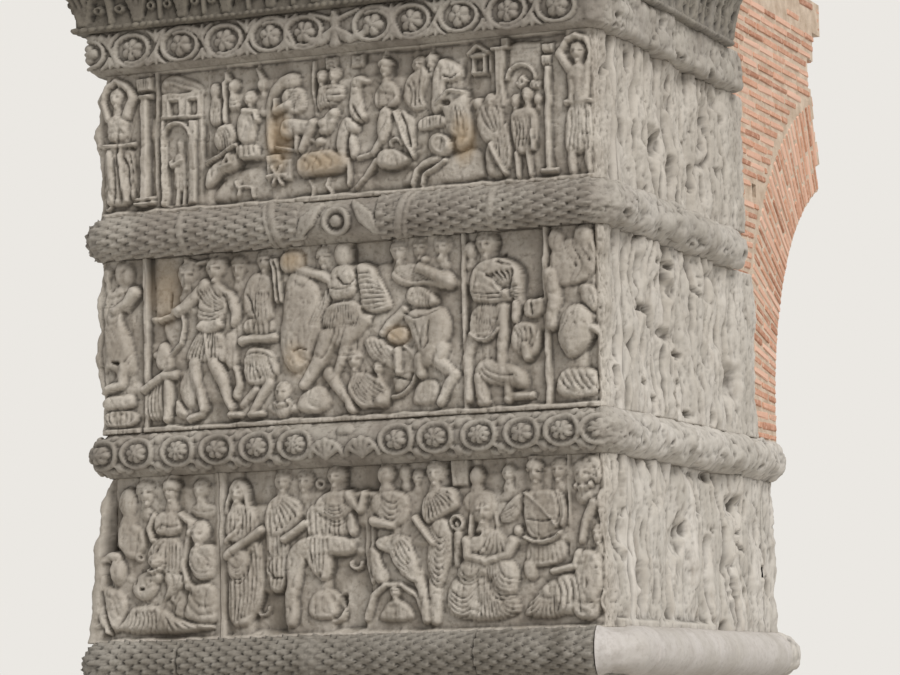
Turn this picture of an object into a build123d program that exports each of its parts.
"""One carved pier of a Roman triumphal arch, with the broken spring of its side arch.

A rubble core stands on a plinth and is faced with courses of carved marble: four registers
of relief, parted by round mouldings, under a scroll frieze and a leafed cornice. A brick
arch springs from the back of the pier and is broken off in mid air.

Millimetres. X runs along the front, Y from front to back and Z up. The origin is on the
ground at the centre of the pier.
"""

from build123d import *
import math
import os

# The pier in plan
pier_width = 4100
pier_depth = 4000
facing_thickness = 420
corner_rounding = 60

# Heights of the courses, from the ground up
step_height = 220
plinth_height = 400
plinth_moulding_height = 160
register_4_height = 1230
base_torus_height = 330
register_3_height = 1240
rosette_torus_height = 330
register_2_height = 1320
laurel_torus_height = 325
register_1_height = 1100
frieze_height = 320
cornice_height = 620

# How far each course stands out from the face of the registers
step_projection = 330
plinth_projection = 230
base_torus_projection = 190
upper_torus_projection = 120
frieze_projection = 80
frieze_ovolo = 50
cornice_foot_projection = 130
cornice_top_projection = 330
cornice_bead = 45
cornice_corona_height = 130
cornice_lip = 40

# Shape of the hollow of the cornice: how far out and up the middle of its curve lies
hollow_middle_out = 0.22
hollow_middle_up = 0.64

# Shape of the ogee on the plinth: how far the middle of each of its curves leaves the chord
ogee_out = 0.35
ogee_up = 0.65

# The sunk ground of the reliefs, with a ledge below it and a fillet above it
ground_depth = 100
ledge_height = 70
top_fillet_height = 30
corner_post = 150

# Upright borders on the front face: their middles, from its left and from its right corner
border_width = 70
register_1_left_borders = (425,)
register_1_right_borders = (400,)
register_2_left_borders = (370,)
register_2_right_borders = (1100, 460)
register_3_right_borders = (320,)

# Upright joints on the front face: in the third register from its left corner, and in the base
# torus from its right corner, where the new block begins at the second
register_3_joint_offset = 995
torus_joint_offset = 1005
new_block_offset = 110

# Carving on the sunk ground. Each figure, building and mound is given by its middle as a share of
# half the face, its foot and top as shares of the course's height, and its width
relief_depth = 85
relief_root = 20
register_1_figures = (
    (-0.91, 0.05, 0.95, 240), (-0.5, 0.1, 0.94, 240), (-0.2, 0.36, 0.84, 220), (-0.06, 0.4, 0.92, 240),
    (0.17, 0.55, 0.92, 190), (0.38, 0.55, 0.9, 190), (0.6, 0.04, 0.58, 150), (0.71, 0.04, 0.56, 230),
    (0.91, 0.05, 0.94, 250),
)
register_1_blocks = (
    (-0.665, 0.04, 0.84, 390), (-0.2, 0.18, 0.36, 500), (0.54, 0.04, 0.76, 160), (0.63, 0.04, 0.93, 110),
)
register_2_figures = (
    (-0.89, 0.05, 0.96, 220), (-0.53, 0.05, 0.96, 400), (-0.73, 0.05, 0.42, 180), (-0.33, 0.05, 0.97, 250),
    (-0.03, 0.4, 0.97, 220), (0.12, 0.6, 0.97, 230), (0.3, 0.52, 0.96, 230), (0.54, 0.14, 0.95, 340),
    (0.86, 0.05, 0.95, 280),
)
register_2_blocks = ((0.09, 0.05, 0.24, 330), (0.6, 0.05, 0.23, 420), (0.705, 0.3, 0.62, 120))
register_3_figures = (
    (-0.91, 0.42, 0.94, 250), (-0.72, 0.2, 0.95, 360), (-0.6, 0.04, 0.7, 270), (-0.42, 0.04, 0.93, 280),
    (-0.26, 0.04, 0.96, 260), (-0.05, 0.5, 0.96, 400), (0.16, 0.28, 0.97, 320), (0.34, 0.04, 0.96, 260),
    (0.51, 0.04, 0.92, 470), (0.73, 0.04, 0.95, 360),
)
register_3_blocks = ((-0.81, 0.04, 0.22, 640), (-0.22, 0.1, 0.55, 120), (0.79, 0.04, 0.24, 480))

# Horses, each by the middle of its body as the same shares, its length and its turn in degrees
register_1_horses = (
    (-0.46, 0.48, 310, 25), (0.01, 0.52, 340, 20), (0.19, 0.51, 420, 26), (0.38, 0.5, 460, 17),
)
register_2_horses = ((-0.16, 0.55, 600, 43), (0.32, 0.46, 420, 5))

# Shields, each by its middle as the same shares and its radius
register_2_shields = ((-0.64, 0.23, 140), (0.2, 0.3, 170))

# The weathered figures of the right face stand at even steps
worn_figure_pitch = 360
worn_figure_width = 240
worn_figure_foot = 0.06
worn_figure_top = 0.93

# Arcade of niches in the lowest register
niche_count = 7
niche_width = 380
niche_depth = 85
niche_sill = 60
niche_head_room = 90
colonnette_radius = 38
colonnette_block = 110
colonnette_block_height = 60

# The shell in the head of each niche: raised ribs that fan out from its foot
shell_ribs = 5
shell_rib_width = 46
shell_rib_depth = 45
shell_hub_radius = 40

# Sides of the polygons that stand for small rounds
niche_facets = 12
shaft_facets = 6
shield_facets = 12

# Leaves of the cornice, which stand on its hollow
leaf_pitch = 365
leaf_width = 310
leaf_foot_width = 200
leaf_tip_width = 120
leaf_shoulder_up = 0.55
leaf_thickness = 45
leaf_curl = 70

# How far the marble of the side faces stops short of the back of the pier
register_2_stop = 490
laurel_torus_stop = 950
register_1_stop = 660
frieze_stop = 900
cornice_stop = 1200

# The side arch, whose inner face stands a little past the back of the pier
arch_overhang = 150
arch_radius = 2250
arch_ring_thickness = 800
brick_recess = 50
stilt_height = 200
putlog_size = 110
putlog_depth = 300
putlog_offset = 220
putlog_height = 5960

# The broken ends: degrees of arc left of each layer of the ring, from the inside out
ring_break_angles = (69, 72.5, 71.5, 72.5)

# The haunch's broken end: reach past the back of the pier of each lift of brickwork
haunch_lift = 260
haunch_reaches = (1400, 1470, 1390, 1560)

# The broken masonry over the cornice: setbacks from the pier, and reach past its back, of each lift
crown_lift = 280
crown_front_setbacks = (60, 150, 480)
crown_reaches = (1800, 1500, 1100)
crown_left_setbacks = (70, 330, 970)
crown_right_setbacks = (50, 110, 290)

half_width = pier_width / 2
half_depth = pier_depth / 2
core_half_width = half_width - facing_thickness
core_half_depth = half_depth - facing_thickness
brick_half_width = half_width - brick_recess
frieze_end = half_depth - frieze_stop
cornice_end = half_depth - cornice_stop
overall = 4 * (pier_width + pier_depth)

z_plinth = step_height
z_plinth_moulding = z_plinth + plinth_height
z_register_4 = z_plinth_moulding + plinth_moulding_height
z_base_torus = z_register_4 + register_4_height
z_register_3 = z_base_torus + base_torus_height
z_rosette_torus = z_register_3 + register_3_height
z_register_2 = z_rosette_torus + rosette_torus_height
z_laurel_torus = z_register_2 + register_2_height
z_register_1 = z_laurel_torus + laurel_torus_height
z_frieze = z_register_1 + register_1_height
z_cornice = z_frieze + frieze_height
z_crown = z_cornice + cornice_height

arch_middle = half_depth + arch_overhang + arch_radius
z_springing = z_register_2 + stilt_height
ring_outer_radius = arch_radius + arch_ring_thickness

sides = ("front", "right", "back", "left")

os.makedirs("parts", exist_ok=True)


def keep(piece, name):
    """Labels one finished piece and writes it to its own file."""
    piece.label = name
    export_step(piece, f"parts/{name}.step")


def box_between(low, high):
    """A plain box between two opposite corners."""
    with BuildPart() as box:
        with Locations([tuple((a + b) / 2 for a, b in zip(low, high))]):
            Box(*(b - a for a, b in zip(low, high)))
    return box.part


def side_region(side, back_end=core_half_depth):
    """The space of one side of the facing: front and back run the full width of the pier."""
    return {
        "front": box_between((-overall, -overall, 0), (overall, -core_half_depth, overall)),
        "back": box_between((-overall, core_half_depth, 0), (overall, overall, overall)),
        "right": box_between((core_half_width, -core_half_depth, 0), (overall, back_end, overall)),
        "left": box_between((-overall, -core_half_depth, 0), (-core_half_width, back_end, overall)),
    }[side]


def part_of(course, *regions):
    """The part of a course that lies in the given regions, which touch one another."""
    with BuildPart() as wanted:
        for region in regions:
            add(region)
    with BuildPart() as piece:
        add(course)
        add(wanted.part, mode=Mode.INTERSECT)
    return piece.part


def face_plane(side, z_low):
    """The plane of one face of the pier, with its origin at the foot of a course."""
    origins = {
        "front": (0, -half_depth, z_low), "right": (half_width, 0, z_low),
        "back": (0, half_depth, z_low), "left": (-half_width, 0, z_low),
    }
    outward = {"front": (0, -1, 0), "right": (1, 0, 0), "back": (0, 1, 0), "left": (-1, 0, 0)}[side]
    along = {"front": (1, 0, 0), "right": (0, 1, 0), "back": (-1, 0, 0), "left": (0, -1, 0)}[side]
    return Plane(origin=origins[side], x_dir=along, z_dir=outward)


def half_length(side):
    """Half the length of the face on that side of the pier."""
    return half_width if side in ("front", "back") else half_depth


def hollow_course(solid):
    """A course of facing: the solid with the space of the core taken out of it."""
    with BuildPart() as course:
        add(solid)
        Box(2 * core_half_width, 2 * core_half_depth, overall, mode=Mode.SUBTRACT)
    return course.part


def mitred_course(outline, z_low, height):
    """A moulded course with mitred corners: its outline holds along both axes."""
    with BuildPart() as course:
        for plane, half, mode in (
            (Plane.XZ, half_width, Mode.ADD), (Plane.YZ, half_depth, Mode.INTERSECT),
        ):
            with BuildSketch(plane):
                with BuildLine():
                    outline(half, z_low, height)
                    mirror(about=Plane.YZ)
                make_face()
            extrude(amount=overall, both=True, mode=mode)
    return course.part


def plinth_outline(half, z_low, height):
    """A fillet, then an ogee that draws in from the plinth to the lowest register."""
    foot = half + plinth_projection
    top = half + plinth_projection / 5
    z_ogee = z_low + height / 4
    z_top = z_low + height
    middle = ((foot + top) / 2, (z_ogee + z_top) / 2)
    rise = middle[1] - z_ogee
    run = foot - middle[0]
    Polyline((0, z_low), (foot, z_low), (foot, z_ogee))
    ThreePointArc((foot, z_ogee), (foot - ogee_out * run, z_ogee + ogee_up * rise), middle)
    ThreePointArc(middle, (top + ogee_out * run, z_top - ogee_up * rise), (top, z_top))
    Line((top, z_top), (0, z_top))


def frieze_outline(half, z_low, height):
    """An upright band with a quarter round under it."""
    face = half + frieze_projection
    z_face = z_low + frieze_ovolo
    bulge = frieze_ovolo * (1 - math.cos(math.radians(45)))
    Line((0, z_low), (face - frieze_ovolo, z_low))
    ThreePointArc((face - frieze_ovolo, z_low), (face - bulge, z_low + bulge), (face, z_face))
    Polyline((face, z_face), (face, z_low + height), (0, z_low + height))


def cornice_outline(half, z_low, height):
    """A bead, a tall hollow that carries the leaves, and the corona over them."""
    foot = half + cornice_foot_projection
    top = half + cornice_top_projection
    hollow_top = top - cornice_lip
    z_hollow = z_low + cornice_bead
    z_corona = z_low + height - cornice_corona_height
    bead_back = foot - cornice_bead / 2
    hollow_middle = (
        bead_back + hollow_middle_out * (hollow_top - bead_back),
        z_hollow + hollow_middle_up * (z_corona - z_hollow),
    )
    Line((0, z_low), (bead_back, z_low))
    ThreePointArc((bead_back, z_low), (foot, z_low + cornice_bead / 2), (bead_back, z_hollow))
    ThreePointArc((bead_back, z_hollow), hollow_middle, (hollow_top, z_corona))
    Polyline((hollow_top, z_corona), (top, z_corona), (top, z_low + height), (0, z_low + height))


def base_torus_outline(half, z_low, height):
    """A half round on a short straight stretch."""
    straight = half + base_torus_projection - height / 2
    Line((0, z_low), (straight, z_low))
    ThreePointArc(
        (straight, z_low), (half + base_torus_projection, z_low + height / 2),
        (straight, z_low + height),
    )
    Line((straight, z_low + height), (0, z_low + height))


def upper_torus_outline(half, z_low, height):
    """A flatter round, worn down to less than half a circle."""
    Line((0, z_low), (half, z_low))
    ThreePointArc(
        (half, z_low), (half + upper_torus_projection, z_low + height / 2), (half, z_low + height)
    )
    Line((half, z_low + height), (0, z_low + height))


def figure_sketch(width, tall):
    """The outline of a standing or seated figure, from its foot at the origin to its head."""
    with BuildSketch() as shape:
        with BuildLine():
            Polyline(
                (0, 0), (0.46 * width, 0), (0.37 * width, 0.5 * tall), (0.5 * width, 0.74 * tall),
                (0.22 * width, 0.84 * tall), (0, tall),
            )
            mirror(about=Plane.YZ)
        make_face()
    return shape.sketch


def horse_sketch(length):
    """The outline of a horse that looks along X, about the middle of its body."""
    places = (
        (-0.62, -0.85), (-0.5, -0.85), (-0.48, -0.45), (-0.25, -0.2), (0.25, -0.2), (0.6, -0.45),
        (0.72, -0.36), (0.62, 0.05), (0.7, 0.35), (0.9, 0.2), (0.96, 0.28), (0.72, 0.62),
        (0.52, 0.56), (0.38, 0.22), (-0.4, 0.22), (-0.66, 0.1),
    )
    with BuildSketch() as shape:
        with BuildLine():
            Polyline(*[(length * x, length * z) for x, z in places], close=True)
        make_face()
    return shape.sketch


def relief(side, z_low, height, carving):
    """Everything carved on one face: outlines that rise from its sunk ground."""
    half = half_length(side)
    with BuildPart() as carved:
        with BuildSketch(face_plane(side, z_low).offset(-ground_depth - relief_root)):
            for middle, foot, top, width in carving["figures"]:
                with Locations((middle * half, foot * height)):
                    add(figure_sketch(width, (top - foot) * height))
            for middle, foot, top, width in carving["blocks"]:
                with Locations((middle * half, (foot + top) / 2 * height)):
                    Rectangle(width, (top - foot) * height)
            for middle, up, length, turn in carving["horses"]:
                with Locations(Location((middle * half, up * height, 0), (0, 0, turn))):
                    add(horse_sketch(length))
            for middle, up, radius in carving["shields"]:
                with Locations((middle * half, up * height)):
                    RegularPolygon(radius, shield_facets)
        extrude(amount=relief_root + relief_depth)
    return carved.part


def worn_figures():
    """The weathered figures of the right face, as figures at even steps."""
    half = half_depth - corner_post
    count = math.floor((2 * half - worn_figure_width) / worn_figure_pitch) + 1
    start = -(count - 1) / 2 * worn_figure_pitch
    return [
        ((start + number * worn_figure_pitch) / half_depth, worn_figure_foot, worn_figure_top,
         worn_figure_width)
        for number in range(count)
    ]


def register_course(z_low, height, left_borders, right_borders, carving):
    """A register of relief: panels of sunk ground between a ledge, a fillet and borders."""
    field_height = height - ledge_height - top_fillet_height
    front_borders = [border - half_width for border in left_borders]
    front_borders += [half_width - border for border in right_borders]
    worn = {"figures": worn_figures(), "blocks": (), "horses": (), "shields": ()}
    with BuildPart() as course:
        with BuildSketch(Plane.XY.offset(z_low)):
            RectangleRounded(pier_width, pier_depth, corner_rounding)
        extrude(amount=height)
        for side in sides:
            borders = front_borders if side == "front" else ()
            edge = half_length(side) - corner_post
            starts = [-edge] + [border + border_width / 2 for border in borders]
            ends = [border - border_width / 2 for border in borders] + [edge]
            with BuildSketch(face_plane(side, z_low + ledge_height + field_height / 2)):
                for start, end in zip(starts, ends):
                    with Locations(((start + end) / 2, 0)):
                        Rectangle(end - start, field_height)
            extrude(amount=-ground_depth, mode=Mode.SUBTRACT)
            add(relief(side, z_low, height, worn if side == "right" else carving))
    return hollow_course(course.part)


def niche_places(side):
    """Middles of the niches along one face."""
    pitch = 2 * half_length(side) / niche_count
    return [pitch * (number - (niche_count - 1) / 2) for number in range(niche_count)]


def shell_fan():
    """The shell of one niche: ribs on a plane, which fan out from a hub at its origin."""
    radius = niche_width / 2
    with BuildPart() as fan:
        with BuildSketch():
            for number in range(shell_ribs):
                turn = 180 * (number + 0.5) / shell_ribs
                direction = (math.cos(math.radians(turn)), math.sin(math.radians(turn)))
                across = (-direction[1] * shell_rib_width / 2, direction[0] * shell_rib_width / 2)
                far = (direction[0] * radius, direction[1] * radius)
                with BuildLine():
                    Polyline(
                        (0, 0), (far[0] + across[0], far[1] + across[1]),
                        (far[0] - across[0], far[1] - across[1]), close=True,
                    )
                make_face()
            RegularPolygon(shell_hub_radius, shaft_facets)
        extrude(amount=shell_rib_depth)
    return fan.part


def arcade_course():
    """The lowest register: niches with shells in their heads, and half columns between them."""
    radius = niche_width / 2
    z_sill = ledge_height + niche_sill
    z_spring = register_4_height - top_fillet_height - niche_head_room - radius
    z_shaft = ledge_height + colonnette_block_height
    shell = shell_fan()
    shells, shafts = [], []
    with BuildPart() as course:
        with BuildSketch(Plane.XY.offset(z_register_4)):
            RectangleRounded(pier_width, pier_depth, corner_rounding)
        extrude(amount=register_4_height)
        for side in sides:
            plane = face_plane(side, z_register_4)
            places = niche_places(side)
            middles = [(first + second) / 2 for first, second in zip(places, places[1:])]
            shells += [plane.location * Location((x, z_spring, -niche_depth)) for x in places]
            shafts += [plane.from_local_coords((x, z_shaft, 0)) for x in middles]
            with BuildSketch(plane):
                for x in places:
                    with Locations((x, (z_sill + z_spring) / 2)):
                        Rectangle(niche_width, z_spring - z_sill)
                    with Locations((x, z_spring)):
                        RegularPolygon(radius, niche_facets)
            extrude(amount=-niche_depth, mode=Mode.SUBTRACT)
        with Locations(*shells):
            add(shell)
        with BuildSketch(Plane.XY.offset(z_register_4 + z_shaft)):
            with Locations(*[(shaft.X, shaft.Y) for shaft in shafts]):
                RegularPolygon(colonnette_radius, shaft_facets)
        extrude(amount=z_spring - z_shaft - colonnette_block_height)
        for z_block in (ledge_height, z_spring - colonnette_block_height):
            with BuildSketch(Plane.XY.offset(z_register_4 + z_block)):
                with Locations(*[(shaft.X, shaft.Y) for shaft in shafts]):
                    Rectangle(colonnette_block, colonnette_block)
            extrude(amount=colonnette_block_height)
    return hollow_course(course.part)


def cornice_leaf():
    """One leaf on a plane: it rises along Y, clings to the hollow and curls out along Z."""
    top = cornice_height - cornice_corona_height
    z_tip = top - leaf_curl
    foot_out = cornice_foot_projection - cornice_bead
    tip_out = cornice_top_projection - cornice_lip
    middle_out = foot_out + hollow_middle_out * (tip_out - foot_out)
    shoulder = (leaf_width / 2, leaf_shoulder_up * top)
    with BuildPart() as leaf:
        with BuildSketch(Plane.YZ):
            with BuildLine():
                Polyline(
                    (cornice_bead, 0), (cornice_bead, foot_out + leaf_thickness),
                    (hollow_middle_up * top, middle_out + leaf_thickness),
                    (z_tip, tip_out + leaf_thickness), (z_tip, tip_out - leaf_curl),
                    (top, tip_out - leaf_curl), (top, 0), close=True,
                )
            make_face()
        extrude(amount=leaf_width / 2, both=True)
        with BuildSketch():
            with BuildLine():
                Polyline(
                    (0, cornice_bead), (leaf_foot_width / 2, cornice_bead), shoulder,
                    (leaf_tip_width / 2, z_tip), (0, z_tip + leaf_curl / 2),
                )
                mirror(about=Plane.YZ)
            make_face()
        extrude(amount=2 * cornice_top_projection, mode=Mode.INTERSECT)
    return leaf.part


def leafed_cornice():
    """The cornice, with a row of leaves on the hollow of each side."""
    leaf = cornice_leaf()
    places = []
    for side in sides:
        length = 2 * (half_length(side) + cornice_foot_projection)
        count = math.floor(length / leaf_pitch)
        start = -(count - 1) / 2 * leaf_pitch
        plane = face_plane(side, z_cornice)
        places += [
            plane.location * Location((start + number * leaf_pitch, 0, 0)) for number in range(count)
        ]
    with BuildPart() as course:
        add(mitred_course(cornice_outline, z_cornice, cornice_height))
        with Locations(*places):
            add(leaf)
    return hollow_course(course.part)


# What carries the facing
with BuildPart() as ground_step:
    with BuildSketch():
        Rectangle(pier_width + 2 * step_projection, pier_depth + 2 * step_projection)
    extrude(amount=step_height)
keep(ground_step.part, "ground_step")

with BuildPart() as plinth_block:
    with BuildSketch(Plane.XY.offset(z_plinth)):
        Rectangle(pier_width + 2 * plinth_projection, pier_depth + 2 * plinth_projection)
    extrude(amount=plinth_height)
keep(plinth_block.part, "plinth_block")

plinth_moulding = mitred_course(plinth_outline, z_plinth_moulding, plinth_moulding_height)
keep(plinth_moulding, "plinth_moulding")

# Courses that go all the way round
arcade = arcade_course()
register_3 = register_course(
    z_register_3, register_3_height, (), register_3_right_borders,
    {"figures": register_3_figures, "blocks": register_3_blocks, "horses": (), "shields": ()},
)
base_torus = hollow_course(mitred_course(base_torus_outline, z_base_torus, base_torus_height))
rosette_torus = hollow_course(
    mitred_course(upper_torus_outline, z_rosette_torus, rosette_torus_height)
)

for side in sides:
    region = side_region(side)
    keep(part_of(arcade, region), f"register_4_{side}")
    keep(part_of(rosette_torus, region), f"rosette_torus_{side}")
    if side != "front":
        keep(part_of(register_3, region), f"register_3_{side}")
    if side in ("back", "left"):
        keep(part_of(base_torus, region), f"base_torus_{side}")


def front_stretch(start, end):
    """The space of the front facing between two upright joints."""
    return box_between((start, -overall, 0), (end, -core_half_depth, overall))


register_3_joint = register_3_joint_offset - half_width
torus_joint = half_width - torus_joint_offset
new_block_joint = half_width - new_block_offset
keep(part_of(register_3, front_stretch(-overall, register_3_joint)), "register_3_front_left")
keep(part_of(register_3, front_stretch(register_3_joint, overall)), "register_3_front_right")
keep(part_of(base_torus, front_stretch(-overall, torus_joint)), "base_torus_front_left")
keep(part_of(base_torus, front_stretch(torus_joint, new_block_joint)), "base_torus_front_right")
keep(
    part_of(base_torus, front_stretch(new_block_joint, overall), side_region("right")),
    "base_torus_right",
)

# Courses that stop where the brickwork of the side arch begins
register_2 = register_course(
    z_register_2, register_2_height, register_2_left_borders, register_2_right_borders,
    {"figures": register_2_figures, "blocks": register_2_blocks, "horses": register_2_horses,
     "shields": register_2_shields},
)
laurel_torus = hollow_course(mitred_course(upper_torus_outline, z_laurel_torus, laurel_torus_height))
register_1 = register_course(
    z_register_1, register_1_height, register_1_left_borders, register_1_right_borders,
    {"figures": register_1_figures, "blocks": register_1_blocks, "horses": register_1_horses,
     "shields": ()},
)
frieze = hollow_course(mitred_course(frieze_outline, z_frieze, frieze_height))
upper_courses = (
    ("register_2", register_2, z_register_2, register_2_height, half_depth - register_2_stop),
    ("laurel_torus", laurel_torus, z_laurel_torus, laurel_torus_height,
     half_depth - laurel_torus_stop),
    ("register_1", register_1, z_register_1, register_1_height, half_depth - register_1_stop),
    ("frieze", frieze, z_frieze, frieze_height, frieze_end),
    ("cornice", leafed_cornice(), z_cornice, cornice_height, cornice_end),
)
for name, course, z_low, height, back_end in upper_courses:
    for side in ("front", "right", "left"):
        keep(part_of(course, side_region(side, back_end)), f"{name}_{side}")

with BuildPart() as facing_space:
    for name, course, z_low, height, back_end in upper_courses:
        for hand in (-1, 1):
            with Locations(
                (hand * (core_half_width + overall) / 2, (back_end - overall) / 2, z_low + height / 2)
            ):
                Box(overall - core_half_width, back_end + overall, height)

# The masonry inside the facing
keep(
    box_between(
        (-core_half_width, -core_half_depth, z_register_4),
        (core_half_width, core_half_depth, z_register_2),
    ),
    "core_lower",
)
core_upper = box_between(
    (-core_half_width, -core_half_depth, z_register_2), (core_half_width, frieze_end, z_crown)
)
keep(core_upper, "core_upper")


def ring_layer(inner_radius, outer_radius, angle):
    """One layer of the ring: a sector that rises from the springing, with the stilt under it."""
    far = 2 * outer_radius
    middle = (arch_middle, z_springing)
    tip = (
        arch_middle - far * math.cos(math.radians(angle)),
        z_springing + far * math.sin(math.radians(angle)),
    )
    with BuildPart() as layer:
        with BuildSketch(Plane.YZ):
            with Locations(middle):
                Circle(outer_radius)
                Circle(inner_radius, mode=Mode.SUBTRACT)
            with BuildLine():
                Polyline(
                    middle, (arch_middle - far, z_springing),
                    (arch_middle - far, z_springing + far), tip, close=True,
                )
            make_face(mode=Mode.INTERSECT)
            with Locations(
                (arch_middle - (outer_radius + inner_radius) / 2, z_springing - stilt_height / 2)
            ):
                Rectangle(outer_radius - inner_radius, stilt_height)
        extrude(amount=brick_half_width, both=True)
    return layer.part


layer_thickness = arch_ring_thickness / len(ring_break_angles)
ring_layers = [
    ring_layer(
        arch_radius + number * layer_thickness, arch_radius + (number + 1) * layer_thickness, angle
    )
    for number, angle in enumerate(ring_break_angles)
]
with BuildPart() as arch_ring:
    add(ring_layers)
    add(facing_space.part, mode=Mode.SUBTRACT)
keep(arch_ring.part, "arch_ring")


def stepped_edge(first, lift, sizes):
    """Corners of a broken edge that steps in or out at each lift of brickwork."""
    corners = []
    for number, size in enumerate(sizes):
        corners += [(size, first + number * lift), (size, first + (number + 1) * lift)]
    return corners


z_broken = z_crown - haunch_lift * len(haunch_reaches)
with BuildPart() as haunch:
    with BuildSketch(Plane.YZ):
        with BuildLine():
            Polyline(
                (frieze_end, z_register_2), (arch_middle, z_register_2), (arch_middle, z_broken),
                *stepped_edge(z_broken, haunch_lift, [half_depth + size for size in haunch_reaches]),
                (cornice_end, z_crown), (cornice_end, z_cornice), (frieze_end, z_cornice), close=True,
            )
        make_face()
        with Locations((arch_middle, z_springing)):
            Circle(ring_outer_radius, mode=Mode.SUBTRACT)
        with Locations((arch_middle, z_register_2)):
            Rectangle(2 * ring_outer_radius, 2 * stilt_height, mode=Mode.SUBTRACT)
    extrude(amount=brick_half_width, both=True)
    add(facing_space.part, mode=Mode.SUBTRACT)
    add(core_upper, mode=Mode.SUBTRACT)
    putlog_rise = putlog_height - z_springing
    putlog_y = arch_middle - math.sqrt(ring_outer_radius**2 - putlog_rise**2) - putlog_offset
    with Locations(
        (-brick_half_width, putlog_y, putlog_height), (brick_half_width, putlog_y, putlog_height)
    ):
        Box(2 * putlog_depth, putlog_size, putlog_size, mode=Mode.SUBTRACT)
keep(haunch.part, "haunch")

# The broken masonry that is left over the cornice, lift by lift
crown_lifts = [
    box_between(
        (left - half_width, front - half_depth, z_crown + number * crown_lift),
        (half_width - right, half_depth + reach, z_crown + (number + 1) * crown_lift),
    )
    for number, (left, right, front, reach) in enumerate(
        zip(crown_left_setbacks, crown_right_setbacks, crown_front_setbacks, crown_reaches)
    )
]
with BuildPart() as crown:
    add(crown_lifts)
keep(crown.part, "crown")
